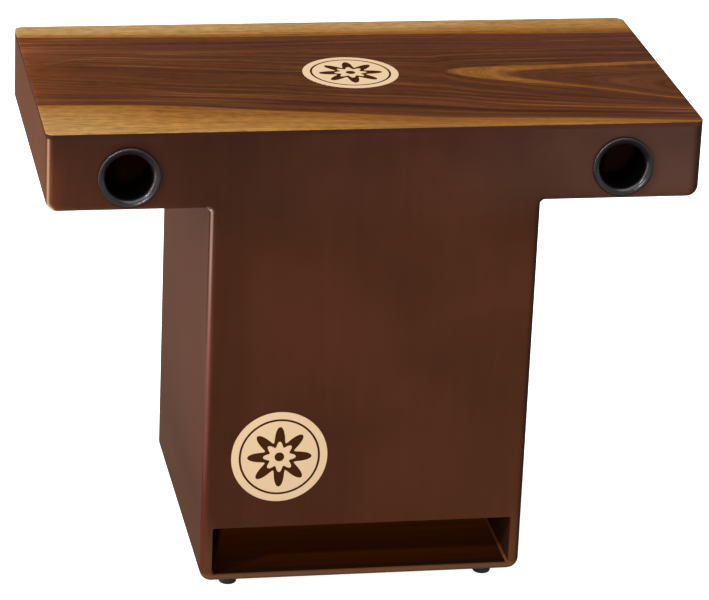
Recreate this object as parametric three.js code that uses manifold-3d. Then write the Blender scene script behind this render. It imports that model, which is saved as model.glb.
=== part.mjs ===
// A slap-top lap cajon: a T-shaped box drum with a walnut playing surface.
// Its two wings lie on the player's thighs, and its column hangs between the legs or stands on rubber feet.
// Millimetres, +Z up, front towards -Y. The origin is on the floor under the middle of the object.

import * as THREE from 'three';
import { mergeVertices } from 'three/addons/utils/BufferGeometryUtils.js';
import Module from 'manifold-3d';

const wasm = await Module();
wasm.setup();

// Body
const topLength = 500;
const bodyDepth = 260;
const bodyHeight = 372;
const wingHeight = 62;
const columnWidth = 254;
const wallThickness = 9;
const floorThickness = 6;
const boardThickness = 3.4;
const veneerThickness = 0.6;
const edgeRound = 6;
const backEdgeRound = 7.8;
const faceCornerRound = 3;
const innerFillet = 3.5;

// Slot at the foot of the column
const slotHeight = 40;
const slotCornerRound = 1.5;

// Sound ports in the wings
const portBore = 35;
const portTubeWall = 1.8;
const portTubeLength = 34;
const portClearOfEnd = 33.4;
const portClearOfFloor = 2;
const flangeLip = 3.9;
const flangeProud = 3.4;
const flangeRimRound = 1;
const flangeRollDepth = 5;

// Round discs on the front and the top
const discDiameter = 75;
const discThickness = 0.3;
const frontDiscFromSide = 21.5;
const frontDiscAboveSlot = 22;

// Feet
const footHeight = 10.5;
const footTopDiameter = 17;
const footBottomDiameter = 14;
const footEdgeRound = 1.2;
const footFromSideWall = 16;
const footFromEndWall = 14;
const footWeb = 5.5;

// Screws
const footScrewHeadDiameter = 6.5;
const footScrewHeadHeight = 2.4;
const footScrewHeadGap = 0.5;
const footScrewShankDiameter = 3.5;
const footScrewLength = 9.5;
const snareScrewHeadDiameter = 6;
const snareScrewShankDiameter = 3;
const snareScrewLength = 11;
const screwPointLength = 2.5;
const screwCrossWidth = 0.9;
const screwCrossDepth = 0.8;
const screwCrossShare = 0.5;
const screwDomeShare = 0.5;

// Snares under the top
const railWidth = 18;
const railHeight = 16;
const strandCount = 10;
const strandDiameter = 2;
const strandPitch = 6.6;
const strandLength = 92;
const stripThickness = 1.2;
const stripInset = 2;
const stripMargin = 12;
const freeStripMargin = 6;
const freeStripWidth = 7;
const snareScrewMargin = 5;

// Battens under the long edges of the top
const battenWidth = 12;
const battenHeight = 8;

// Clearances
const fitGap = 0.3;
const overrun = 20;

// Steps of the round shapes
const arcSteps = 4;
const bevelSteps = 5;
const portSteps = 44;
const flangeRollSteps = 6;
const flangeRimSteps = 3;
const discSteps = 72;
const footSteps = 28;
const footRoundSteps = 3;
const screwSteps = 16;
const screwDomeSteps = 3;
const strandSides = 8;

// Places that follow from the sizes
const topHalf = topLength / 2;
const columnHalf = columnWidth / 2;
const middleY = flangeProud / 2;
const frontY = middleY - bodyDepth / 2;
const backY = middleY + bodyDepth / 2;
const frontInnerY = frontY + wallThickness;
const backInnerY = backY - wallThickness;
const baseZ = footHeight;
const topZ = baseZ + bodyHeight;
const wingZ = topZ - wingHeight;
const wingFloorZ = wingZ + floorThickness;
const columnFloorZ = baseZ + floorThickness;
const slotTopZ = columnFloorZ + slotHeight;
const veneerZ = topZ - veneerThickness;
const underTopZ = veneerZ - boardThickness;
const wingEndInnerX = topHalf - wallThickness;
const columnInnerX = columnHalf - wallThickness;
const cornerRound = faceCornerRound + edgeRound;

// Places of the ports, which stand on the wing floors' side and clear of the snare rails
const portTubeRadius = portBore / 2 + portTubeWall;
const portHoleRadius = portTubeRadius + fitGap;
const flangeRadius = portHoleRadius + flangeLip;
const portX = wingEndInnerX - portClearOfEnd - portTubeRadius;
const portZ = wingFloorZ + portClearOfFloor + portTubeRadius;

// Heights in the feet
const footRecessDepth = footHeight - footWeb;
const footRecessRadius = footScrewHeadDiameter / 2 + footScrewHeadGap;
const footPilotRadius = footScrewShankDiameter / 2 + fitGap;
const footScrewTipZ = footRecessDepth - fitGap + footScrewLength;

// Heights under the top
const strandRadius = strandDiameter / 2;
const strandZ = underTopZ - fitGap - strandRadius;
const railTopZ = strandZ - strandRadius - stripThickness / 2;
const stripTopZ = railTopZ + stripThickness;
const snareScrewHeadHeight = underTopZ - fitGap - stripTopZ;
const snarePilotRadius = snareScrewShankDiameter / 2 + fitGap;
const stripWidth = railWidth - 2 * stripInset;
const strandSpread = strandPitch * (strandCount - 1);

// Colours
const stain = { color: 0x4a2a1e, roughness: 0.55, metalness: 0 };
const walnut = { color: 0x6b4024, roughness: 0.5, metalness: 0 };
const blackPlastic = { color: 0x1b1b1f, roughness: 0.6, metalness: 0 };
const cream = { color: 0xe8cba3, roughness: 0.6, metalness: 0 };
const rubber = { color: 0x2a2b35, roughness: 0.8, metalness: 0 };
const beech = { color: 0xb58a5c, roughness: 0.7, metalness: 0 };
const steel = { color: 0xb9bcc0, roughness: 0.3, metalness: 1 };

const cajon = new THREE.Group();

function addPiece(name, geometry, finish) {
  geometry.deleteAttribute('uv');
  geometry.computeVertexNormals();
  const piece = new THREE.Mesh(geometry, new THREE.MeshStandardMaterial(finish));
  piece.name = name;
  cajon.add(piece);
}

// A closed geometry as a solid that can be cut and joined
function solidOf(geometry) {
  const bare = geometry.clone();
  bare.deleteAttribute('normal');
  bare.deleteAttribute('uv');
  const merged = mergeVertices(bare);
  return new wasm.Manifold(new wasm.Mesh({
    numProp: 3,
    vertProperties: new Float32Array(merged.attributes.position.array),
    triVerts: new Uint32Array(merged.index.array),
  }));
}

function geometryOf(solid) {
  const mesh = solid.getMesh();
  const geometry = new THREE.BufferGeometry();
  geometry.setAttribute('position', new THREE.BufferAttribute(new Float32Array(mesh.vertProperties), 3));
  geometry.setIndex(new THREE.BufferAttribute(new Uint32Array(mesh.triVerts), 1));
  return geometry;
}

// A box from its lowest to its highest corner
function block(low, high) {
  const size = high.map((value, axis) => value - low[axis]);
  const geometry = new THREE.BoxGeometry(...size);
  geometry.translate(...low.map((value, axis) => value + size[axis] / 2));
  return geometry;
}

// An outline through square corners, each rounded by its own radius
function roundedOutline(corners) {
  const shape = new THREE.Shape();
  corners.forEach((corner, index) => {
    const point = new THREE.Vector2(corner.x, corner.z);
    const before = corners[(index + corners.length - 1) % corners.length];
    const after = corners[(index + 1) % corners.length];
    const back = new THREE.Vector2(before.x, before.z).sub(point).normalize();
    const ahead = new THREE.Vector2(after.x, after.z).sub(point).normalize();
    const centre = point.clone().addScaledVector(back, corner.round).addScaledVector(ahead, corner.round);
    const start = point.clone().addScaledVector(back, corner.round);
    const end = point.clone().addScaledVector(ahead, corner.round);
    if (index === 0) {
      shape.moveTo(start.x, start.y);
    } else {
      shape.lineTo(start.x, start.y);
    }
    if (corner.round > 0) {
      const startAngle = start.clone().sub(centre).angle();
      const endAngle = end.clone().sub(centre).angle();
      shape.absarc(centre.x, centre.y, corner.round, startAngle, endAngle, back.cross(ahead) > 0);
    }
  });
  return shape;
}

// Stands an outline that was drawn in X and Z upright, and carries it from one Y to another
function carried(shape, fromY, toY, settings) {
  const round = settings.bevelEnabled ? settings.bevelThickness : 0;
  const geometry = new THREE.ExtrudeGeometry(shape, {
    depth: toY - fromY - 2 * round,
    curveSegments: arcSteps,
    ...settings,
  });
  geometry.rotateX(Math.PI / 2);
  geometry.translate(0, toY - round, 0);
  return geometry;
}

// The body's T from one Y to another, with both ends rounded over
function roundedBody(fromY, toY, endRound) {
  const above = topZ + endRound + overrun;
  const outline = roundedOutline([
    { x: -topHalf, z: above, round: 0 },
    { x: -topHalf, z: wingZ, round: cornerRound },
    { x: -columnHalf, z: wingZ, round: innerFillet },
    { x: -columnHalf, z: baseZ, round: cornerRound },
    { x: columnHalf, z: baseZ, round: cornerRound },
    { x: columnHalf, z: wingZ, round: innerFillet },
    { x: topHalf, z: wingZ, round: cornerRound },
    { x: topHalf, z: above, round: 0 },
  ]);
  return solidOf(carried(outline, fromY, toY, {
    bevelEnabled: true,
    bevelThickness: endRound,
    bevelSize: endRound,
    bevelOffset: -endRound,
    bevelSegments: bevelSteps,
  }));
}

// The whole body, rounder at the back than at the front, from which each board is cut
const roundFront = roundedBody(frontY, backY + overrun, edgeRound);
const roundBack = roundedBody(frontY - overrun, backY, backEdgeRound);
const blank = roundFront.intersect(roundBack);

function board(low, high) {
  return blank.intersect(solidOf(block(low, high)));
}

// A round bar along Y
function barAlongY(x, z, radius, fromY, toY, steps) {
  const geometry = new THREE.CylinderGeometry(radius, radius, toY - fromY, steps);
  geometry.translate(x, (fromY + toY) / 2, z);
  return geometry;
}

// A round bar along Z
function barAlongZ(x, y, radius, fromZ, toZ, steps) {
  const geometry = new THREE.CylinderGeometry(radius, radius, toZ - fromZ, steps);
  geometry.rotateX(Math.PI / 2);
  geometry.translate(x, y, (fromZ + toZ) / 2);
  return geometry;
}

function addTop() {
  const outer = topHalf + overrun;
  const veneer = board([-outer, frontY - overrun, veneerZ], [outer, backY + overrun, topZ]);
  const core = board([-outer, frontY - overrun, underTopZ], [outer, backY + overrun, veneerZ]);
  addPiece('top_veneer', geometryOf(veneer), walnut);
  addPiece('top_board', geometryOf(core), stain);
}

function slotCutter() {
  const outline = roundedOutline([
    { x: -columnInnerX, z: columnFloorZ, round: 0 },
    { x: columnInnerX, z: columnFloorZ, round: 0 },
    { x: columnInnerX, z: slotTopZ, round: slotCornerRound },
    { x: -columnInnerX, z: slotTopZ, round: slotCornerRound },
  ]);
  return solidOf(carried(outline, frontY - overrun, frontInnerY + overrun, { bevelEnabled: false }));
}

function addPanels() {
  const outer = topHalf + overrun;
  const low = baseZ - overrun;
  let front = board([-outer, frontY - overrun, low], [outer, frontInnerY, underTopZ]);
  front = front.subtract(slotCutter());
  for (const x of [-portX, portX]) {
    const hole = barAlongY(x, portZ, portHoleRadius, frontY - overrun, frontInnerY + overrun, portSteps);
    front = front.subtract(solidOf(hole));
  }
  const back = board([-outer, backInnerY, low], [outer, backY + overrun, underTopZ]);
  addPiece('front_panel', geometryOf(front), stain);
  addPiece('back_panel', geometryOf(back), stain);
}

function footPlaces() {
  const x = columnInnerX - footFromSideWall;
  const nearY = frontInnerY + footFromEndWall;
  const farY = backInnerY - footFromEndWall;
  return [
    { name: 'front_left', x: -x, y: nearY },
    { name: 'front_right', x, y: nearY },
    { name: 'back_left', x: -x, y: farY },
    { name: 'back_right', x, y: farY },
  ];
}

// The side boards and floors between the two panels; a box is mirrored for the right-hand side
function sidedBoard(side, inner, outer, lowZ, highZ) {
  const ends = [side * inner, side * outer];
  return board([Math.min(...ends), frontInnerY, lowZ], [Math.max(...ends), backInnerY, highZ]);
}

function addWalls() {
  for (const [label, side] of [['left', -1], ['right', 1]]) {
    const end = sidedBoard(side, wingEndInnerX, topHalf + overrun, wingZ - overrun, underTopZ);
    const floor = sidedBoard(side, columnHalf, wingEndInnerX, wingZ - innerFillet, wingFloorZ);
    const column = sidedBoard(side, columnInnerX, columnHalf, baseZ - overrun, wingFloorZ);
    addPiece(`wing_end_${label}`, geometryOf(end), stain);
    addPiece(`wing_floor_${label}`, geometryOf(floor), stain);
    addPiece(`column_side_${label}`, geometryOf(column), stain);
  }
  let floor = board([-columnInnerX, frontInnerY, baseZ - overrun], [columnInnerX, backInnerY, columnFloorZ]);
  for (const { x, y } of footPlaces()) {
    const pilot = barAlongZ(x, y, footPilotRadius, baseZ - overrun, footScrewTipZ + fitGap, screwSteps);
    floor = floor.subtract(solidOf(pilot));
  }
  addPiece('column_floor', geometryOf(floor), stain);
}

// A black tube whose flange lies on the front panel: it stands highest near its rim and rolls inwards into
// the bore along a quarter ellipse
function portTube(x) {
  const bore = portBore / 2;
  const crest = flangeRadius - flangeRimRound;
  const profile = [new THREE.Vector2(bore, portTubeLength)];
  for (let step = 0; step <= flangeRollSteps; step += 1) {
    const turn = Math.PI / 2 * (flangeRollSteps - step) / flangeRollSteps;
    const across = crest - (crest - bore) * Math.sin(turn);
    profile.push(new THREE.Vector2(across, flangeRollDepth * (1 - Math.cos(turn)) - flangeProud));
  }
  for (let step = 1; step <= flangeRimSteps; step += 1) {
    const turn = Math.PI / 2 * step / flangeRimSteps;
    const across = crest + flangeRimRound * Math.sin(turn);
    profile.push(new THREE.Vector2(across, flangeRimRound * (1 - Math.cos(turn)) - flangeProud));
  }
  profile.push(new THREE.Vector2(flangeRadius, 0));
  profile.push(new THREE.Vector2(portTubeRadius, 0));
  profile.push(new THREE.Vector2(portTubeRadius, portTubeLength));
  profile.push(profile[0].clone());
  const geometry = new THREE.LatheGeometry(profile, portSteps);
  geometry.translate(x, frontY, portZ);
  return geometry;
}

function addPorts() {
  addPiece('port_tube_left', geometryOf(solidOf(portTube(-portX))), blackPlastic);
  addPiece('port_tube_right', geometryOf(solidOf(portTube(portX))), blackPlastic);
}

function addDiscs() {
  const radius = discDiameter / 2;
  const x = -columnHalf + frontDiscFromSide + radius;
  const z = slotTopZ + frontDiscAboveSlot + radius;
  addPiece('front_disc', barAlongY(x, z, radius, frontY - discThickness, frontY, discSteps), cream);
  addPiece('top_disc', barAlongZ(0, middleY, radius, topZ, topZ + discThickness, discSteps), cream);
}

// A screw that stands on its domed head, which starts at zero, with the shank running up
function screw(headDiameter, headHeight, shankDiameter, length) {
  const head = headDiameter / 2;
  const shank = shankDiameter / 2;
  const domeHeight = headHeight * screwDomeShare;
  const profile = [new THREE.Vector2(0, 0)];
  for (let step = 1; step <= screwDomeSteps; step += 1) {
    const turn = Math.PI / 2 * step / screwDomeSteps;
    profile.push(new THREE.Vector2(head * Math.sin(turn), domeHeight * (1 - Math.cos(turn))));
  }
  profile.push(new THREE.Vector2(head, headHeight));
  profile.push(new THREE.Vector2(shank, headHeight));
  profile.push(new THREE.Vector2(shank, headHeight + length - screwPointLength));
  profile.push(new THREE.Vector2(0, headHeight + length));
  let solid = solidOf(new THREE.LatheGeometry(profile, screwSteps));
  const reach = head * screwCrossShare;
  const half = screwCrossWidth / 2;
  for (const [alongX, alongZ] of [[reach, half], [half, reach]]) {
    const cut = block([-alongX, -overrun, -alongZ], [alongX, screwCrossDepth, alongZ]);
    solid = solid.subtract(solidOf(cut));
  }
  return geometryOf(solid);
}

// A tapered rubber foot with a recess for its screw
function rubberFoot() {
  const bottom = footBottomDiameter / 2;
  const profile = [new THREE.Vector2(footRecessRadius, 0)];
  for (let step = 0; step <= footRoundSteps; step += 1) {
    const turn = Math.PI / 2 * step / footRoundSteps;
    const across = bottom - footEdgeRound * (1 - Math.sin(turn));
    profile.push(new THREE.Vector2(across, footEdgeRound * (1 - Math.cos(turn))));
  }
  profile.push(new THREE.Vector2(footTopDiameter / 2, footHeight));
  profile.push(new THREE.Vector2(footPilotRadius, footHeight));
  profile.push(new THREE.Vector2(footPilotRadius, footRecessDepth));
  profile.push(new THREE.Vector2(footRecessRadius, footRecessDepth));
  profile.push(profile[0].clone());
  return geometryOf(solidOf(new THREE.LatheGeometry(profile, footSteps)));
}

function addFeet() {
  const headZ = footRecessDepth - fitGap - footScrewHeadHeight;
  for (const { name, x, y } of footPlaces()) {
    const foot = rubberFoot();
    foot.rotateX(Math.PI / 2);
    foot.translate(x, y, 0);
    addPiece(`rubber_foot_${name}`, foot, rubber);
    const fixing = screw(footScrewHeadDiameter, footScrewHeadHeight, footScrewShankDiameter, footScrewLength);
    fixing.rotateX(Math.PI / 2);
    fixing.translate(x, y, headZ);
    addPiece(`foot_screw_${name}`, fixing, steel);
  }
}

// Strands just under the top, fused to a strip on the rail and to a narrow strip at their free ends
function snareSet(railX, side) {
  const stripHalfY = strandSpread / 2 + stripMargin;
  const freeHalfY = strandSpread / 2 + freeStripMargin;
  const outerX = railX + side * stripWidth / 2;
  const freeX = outerX - side * (strandLength - freeStripWidth / 2);
  const strip = block(
    [railX - stripWidth / 2, middleY - stripHalfY, railTopZ],
    [railX + stripWidth / 2, middleY + stripHalfY, stripTopZ],
  );
  const freeStrip = block(
    [freeX - freeStripWidth / 2, middleY - freeHalfY, railTopZ],
    [freeX + freeStripWidth / 2, middleY + freeHalfY, stripTopZ],
  );
  let solid = solidOf(strip).add(solidOf(freeStrip));
  for (let index = 0; index < strandCount; index += 1) {
    const strand = new THREE.CylinderGeometry(strandRadius, strandRadius, strandLength, strandSides);
    strand.rotateZ(Math.PI / 2);
    const y = middleY - strandSpread / 2 + strandPitch * index;
    strand.translate(outerX - side * strandLength / 2, y, strandZ);
    solid = solid.add(solidOf(strand));
  }
  return solid;
}

function addSnares() {
  const screwSizes = [snareScrewHeadDiameter, snareScrewHeadHeight, snareScrewShankDiameter, snareScrewLength];
  const screwFromMiddle = strandSpread / 2 + stripMargin - snareScrewMargin;
  const tipZ = stripTopZ - snareScrewLength;
  for (const [label, side] of [['left', -1], ['right', 1]]) {
    const x = side * (wingEndInnerX - railWidth / 2);
    const railLow = [x - railWidth / 2, frontInnerY, railTopZ - railHeight];
    let rail = solidOf(block(railLow, [x + railWidth / 2, backInnerY, railTopZ]));
    let wires = snareSet(x, side);
    for (const [place, way] of [['front', -1], ['back', 1]]) {
      const y = middleY + way * screwFromMiddle;
      const pilot = solidOf(barAlongZ(x, y, snarePilotRadius, tipZ - fitGap, underTopZ, screwSteps));
      rail = rail.subtract(pilot);
      wires = wires.subtract(pilot);
      const fixing = screw(...screwSizes);
      fixing.rotateX(-Math.PI / 2);
      fixing.translate(x, y, stripTopZ + snareScrewHeadHeight);
      addPiece(`snare_screw_${label}_${place}`, fixing, steel);
    }
    addPiece(`snare_rail_${label}`, geometryOf(rail), beech);
    addPiece(`snare_wires_${label}`, geometryOf(wires), steel);
  }
}

// Glue battens that back the top board along the long panels, between the column's sides
function addBattens() {
  const low = underTopZ - battenHeight;
  const nearHigh = [columnInnerX, frontInnerY + battenWidth, underTopZ];
  const farLow = [-columnInnerX, backInnerY - battenWidth, low];
  addPiece('top_batten_front', block([-columnInnerX, frontInnerY, low], nearHigh), beech);
  addPiece('top_batten_back', block(farLow, [columnInnerX, backInnerY, underTopZ]), beech);
}

addTop();
addPanels();
addWalls();
addPorts();
addDiscs();
addFeet();
addSnares();
addBattens();

export default cajon;
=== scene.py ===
# %% [markdown]
# # Dressing a slap-top lap cajon
#
# The object is a T-shaped wooden box drum. Its two wings lie on the player's thighs, its column hangs between
# the legs, and the walnut top is what the hands play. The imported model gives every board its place. This
# notebook lays a finer, finished piece over each one, so nothing here has to be fitted by eye: a piece goes
# where its node is.

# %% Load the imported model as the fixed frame
import bmesh
import bpy
import numpy as np
from mathutils import Matrix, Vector
from mathutils.geometry import delaunay_2d_cdt


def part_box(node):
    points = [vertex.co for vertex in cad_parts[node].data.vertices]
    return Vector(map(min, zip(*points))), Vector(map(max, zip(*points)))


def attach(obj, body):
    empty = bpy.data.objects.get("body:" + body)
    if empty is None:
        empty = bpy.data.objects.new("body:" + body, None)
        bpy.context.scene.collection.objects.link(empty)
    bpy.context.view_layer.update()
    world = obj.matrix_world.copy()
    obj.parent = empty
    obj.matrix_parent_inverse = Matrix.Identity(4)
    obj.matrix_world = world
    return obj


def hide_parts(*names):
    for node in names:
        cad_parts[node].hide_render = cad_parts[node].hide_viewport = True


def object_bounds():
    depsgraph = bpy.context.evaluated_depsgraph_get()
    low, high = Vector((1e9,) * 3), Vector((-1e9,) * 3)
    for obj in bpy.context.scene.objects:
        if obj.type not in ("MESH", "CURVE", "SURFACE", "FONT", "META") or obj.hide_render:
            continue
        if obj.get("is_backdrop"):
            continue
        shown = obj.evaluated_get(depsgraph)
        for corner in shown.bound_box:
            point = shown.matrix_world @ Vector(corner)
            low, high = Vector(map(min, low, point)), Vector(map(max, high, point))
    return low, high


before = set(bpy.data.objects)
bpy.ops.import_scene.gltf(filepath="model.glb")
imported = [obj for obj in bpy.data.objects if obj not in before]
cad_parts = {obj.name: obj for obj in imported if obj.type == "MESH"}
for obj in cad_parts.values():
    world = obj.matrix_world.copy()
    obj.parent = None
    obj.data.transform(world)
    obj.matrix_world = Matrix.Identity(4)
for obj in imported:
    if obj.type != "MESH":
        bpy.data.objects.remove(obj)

cad_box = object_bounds()
MM = 0.001
print("nodes in the frame:", len(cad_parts))
print("overall size in millimetres:", [round(size / MM, 1) for size in cad_box[1] - cad_box[0]])

# %% [markdown]
# ## The sizes that the pieces share
#
# Every place is read from the nodes' own boxes. Only what a box can't tell is said again, such as a rounding
# radius or the slot's height. If the model changes, the dressed pieces follow it.

# %% Read the places of the boards
front_y, front_inner_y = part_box("front_panel")[0].y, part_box("front_panel")[1].y
back_inner_y, back_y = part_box("back_panel")[0].y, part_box("back_panel")[1].y
base_z, under_top_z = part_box("front_panel")[0].z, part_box("front_panel")[1].z
veneer_z, top_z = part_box("top_veneer")[0].z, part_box("top_veneer")[1].z
half_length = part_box("top_veneer")[1].x
wing_z, wing_inner_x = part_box("wing_end_right")[0].z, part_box("wing_end_right")[0].x
wing_floor_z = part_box("wing_floor_right")[1].z
column_inner_x, column_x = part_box("column_side_right")[0].x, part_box("column_side_right")[1].x
floor_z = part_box("column_floor")[1].z
middle_y = (front_y + back_y) / 2
SIDES = {"left": -1, "right": 1}

FRONT_ROUND = 6 * MM
BACK_ROUND = 7.8 * MM
CORNER_ROUND = 9 * MM
INNER_FILLET = 3.5 * MM
SLOT_HEIGHT = 40 * MM
SLOT_CORNER = 1.5 * MM
SLOT_EASE = 0.5 * MM
ARC_STEPS = 10
print("front face at", round(front_y / MM, 1), "mm, column half width", round(column_x / MM, 1), "mm")

# %% [markdown]
# ## From points to a mesh
#
# Most shapes below are worked out as whole arrays of points on a grid, rows by columns. Two helpers turn them
# into a mesh. The first numbers the four corners of each cell of the grid. The second welds the parts of a
# piece into one skin, turns it outwards, and marks as sharp only the edges that bend by more than about a
# third of a right angle. A weighted normal modifier then lets the large flat faces keep their flat look
# beside the small round ones.

# %% Helpers for the meshes
WELD = 2e-6
SHARP_ANGLE = np.radians(32)
FLAT_WEIGHT = 80


def full_turn(steps):
    """Angles once round a circle, without the last one, which is the first again."""
    return np.linspace(0, 2 * np.pi, steps, endpoint=False)


def grid_faces(rows, columns, round_rows=False, round_columns=False):
    """The four corner numbers of each cell of a grid of points that are numbered row by row. A round
    direction has its last line of points joined to its first."""
    index = np.arange(rows * columns).reshape(rows, columns)
    if round_rows:
        index = np.vstack([index, index[:1]])
    if round_columns:
        index = np.hstack([index, index[:, :1]])
    corners = [index[:-1, :-1], index[1:, :-1], index[1:, 1:], index[:-1, 1:]]
    return np.stack(corners, axis=-1).reshape(-1, 4)


def make_piece(name, parts, finishes, nodes, weld=WELD, flat_faces=True):
    """One finished object from parts, each a pair of points and faces. A third entry can say which finish the
    part has, as one number or as one for each face. The object stands for the nodes, rides on the only body,
    and names the slot of its finish."""
    points, faces, looks, start = [], [], [], 0
    for part in parts:
        points.append(np.asarray(part[0], float).reshape(-1, 3))
        faces += [[start + corner for corner in face] for face in np.asarray(part[1], dtype=object).tolist()]
        look = part[2] if len(part) > 2 else 0
        looks += list(look) if np.ndim(look) else [look] * len(part[1])
        start += len(points[-1])
    mesh = bpy.data.meshes.new(name)
    mesh.from_pydata(np.vstack(points).tolist(), [], faces)
    mesh.polygons.foreach_set("material_index", np.array(looks, np.int32))
    skin = bmesh.new()
    skin.from_mesh(mesh)
    bmesh.ops.remove_doubles(skin, verts=skin.verts, dist=weld)
    bmesh.ops.dissolve_degenerate(skin, edges=skin.edges, dist=weld / 2)
    bmesh.ops.recalc_face_normals(skin, faces=skin.faces)
    skin.to_mesh(mesh)
    skin.free()
    mesh.polygons.foreach_set("use_smooth", np.ones(len(mesh.polygons), bool))
    mesh.set_sharp_from_angle(angle=SHARP_ANGLE)
    piece = bpy.data.objects.new(name, mesh)
    bpy.context.scene.collection.objects.link(piece)
    for finish in finishes:
        mesh.materials.append(finish.material)
    if flat_faces:
        weighted = piece.modifiers.new("flat faces stay flat", "WEIGHTED_NORMAL")
        weighted.keep_sharp = True
        weighted.weight = FLAT_WEIGHT
    if nodes:
        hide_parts(*nodes)
    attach(piece, "root")
    return piece


print("a grid of 3 by 4 points has", len(grid_faces(3, 4)), "cells")

# %% [markdown]
# ## Outlines and stacked solids
#
# A board is an outline carried through its thickness. If the outline shrinks a little at each level, the same
# stack gives a rounded edge. So one description, outlines stacked over levels, makes the big T-shaped panels,
# the plain boards between them and the thin top. A modelling tool could bevel a box instead, but here the
# round edge of the panel and the round corners of the T have to meet in a way that a formula says exactly.

# %% Helpers for outlines and solids
def rounded_outline(corners, steps=ARC_STEPS):
    """Points round a closed outline with square corners. Each corner is (across, up, radius): its two sides
    stop one radius short, and a quarter circle that touches both joins them."""
    table = np.array(corners, float)
    at, radius = table[:, :2], table[:, 2:]
    back, ahead = np.roll(at, 1, axis=0) - at, np.roll(at, -1, axis=0) - at
    back = back / np.linalg.norm(back, axis=1, keepdims=True)
    ahead = ahead / np.linalg.norm(ahead, axis=1, keepdims=True)
    centre = at + radius * (back + ahead)
    turn = np.linspace(0, np.pi / 2, steps + 1)[None, :, None]
    swing = ahead[:, None] * np.cos(turn) + back[:, None] * np.sin(turn)
    return (centre[:, None] - radius[:, None] * swing).reshape(-1, 2)


def rectangle(low_a, low_b, high_a, high_b, radius=0.0):
    """The outline of a rectangle whose four corners share one radius."""
    places = [(low_a, low_b), (high_a, low_b), (high_a, high_b), (low_a, high_b)]
    return rounded_outline([(a, b, radius) for a, b in places])


def lifted(outline, level, axis):
    """An outline in X and Z set at a Y, or an outline in X and Y set at a Z."""
    flat = np.asarray(outline, float)
    height = np.full(len(flat), level)
    order = [flat[:, 0], height, flat[:, 1]] if axis == "y" else [flat[:, 0], flat[:, 1], height]
    return np.stack(order, axis=-1)


def wall(outlines, levels, axis):
    """The skin between outlines lifted to their levels: point n of each is joined to point n of the next."""
    rings = np.stack([lifted(outline, level, axis) for outline, level in zip(outlines, levels)])
    return rings, grid_faces(rings.shape[0], rings.shape[1], round_columns=True)


MERGE = 1e-7


def flat_face(loops, level, axis):
    """One flat face bounded by the first loop, with the other loops left open as holes: the triangles that
    Delaunay's rule makes between all points, without those that lie in a hole's own loop."""
    ends = np.cumsum([0] + [len(loop) for loop in loops])
    rings = [list(range(start, stop)) for start, stop in zip(ends[:-1], ends[1:])]
    places, _, faces, _, _, origins = delaunay_2d_cdt(np.vstack(loops).tolist(), [], rings, 1, MERGE)
    kept = [face for face, origin in zip(faces, origins) if origin == [0]]
    return lifted(places, level, axis), kept


def stacked(outlines, levels, axis, holes=()):
    """A closed solid: the outer wall, one wall for each hole, and the two flat ends. Each hole is its own
    stack of (outlines, levels) and starts and stops with the solid."""
    parts = [wall(outlines, levels, axis)] + [wall(rings, heights, axis) for rings, heights in holes]
    for end in (0, -1):
        loops = [outlines[end]] + [rings[end] for rings, heights in holes]
        parts.append(flat_face(loops, levels[end], axis))
    return parts


print("a rounded square has", len(rectangle(0, 0, 1, 1, 0.1)), "points")

# %% [markdown]
# ## Materials are small graphs
#
# Each finish is a Principled shader with patterns wired into its colour and, where they would show, into its
# bump and the weight of its clear coat. The class below only shortens the writing: it adds nodes, joins them,
# and sets fixed values on the shader's own sockets. A finish keeps the colour that it has reached, and each
# later line tints or shades that colour, as coats follow each other in a workshop. Patterns read object
# coordinates, which are metres here, so a noise scale of 100 has features of about a centimetre.
#
# Most patterns say where something starts and ends, so a range has a short form: a tuple of a socket, the two
# places, and where they aren't 0 and 1 the two results.

# %% Helpers for the finishes
STUDIO_LEVEL = 1.75


def tone(red, green, blue):
    """A colour picked on a screen, as the linear share of light that the surface sends back. The
    studio shines brighter on it than plain white needs, so the share is divided by that level."""
    screen = np.array([red, green, blue]) / 255
    linear = np.where(screen <= 0.04045, screen / 12.92, ((screen + 0.055) / 1.055) ** 2.4)
    return (*(linear / STUDIO_LEVEL), 1.0)


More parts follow.
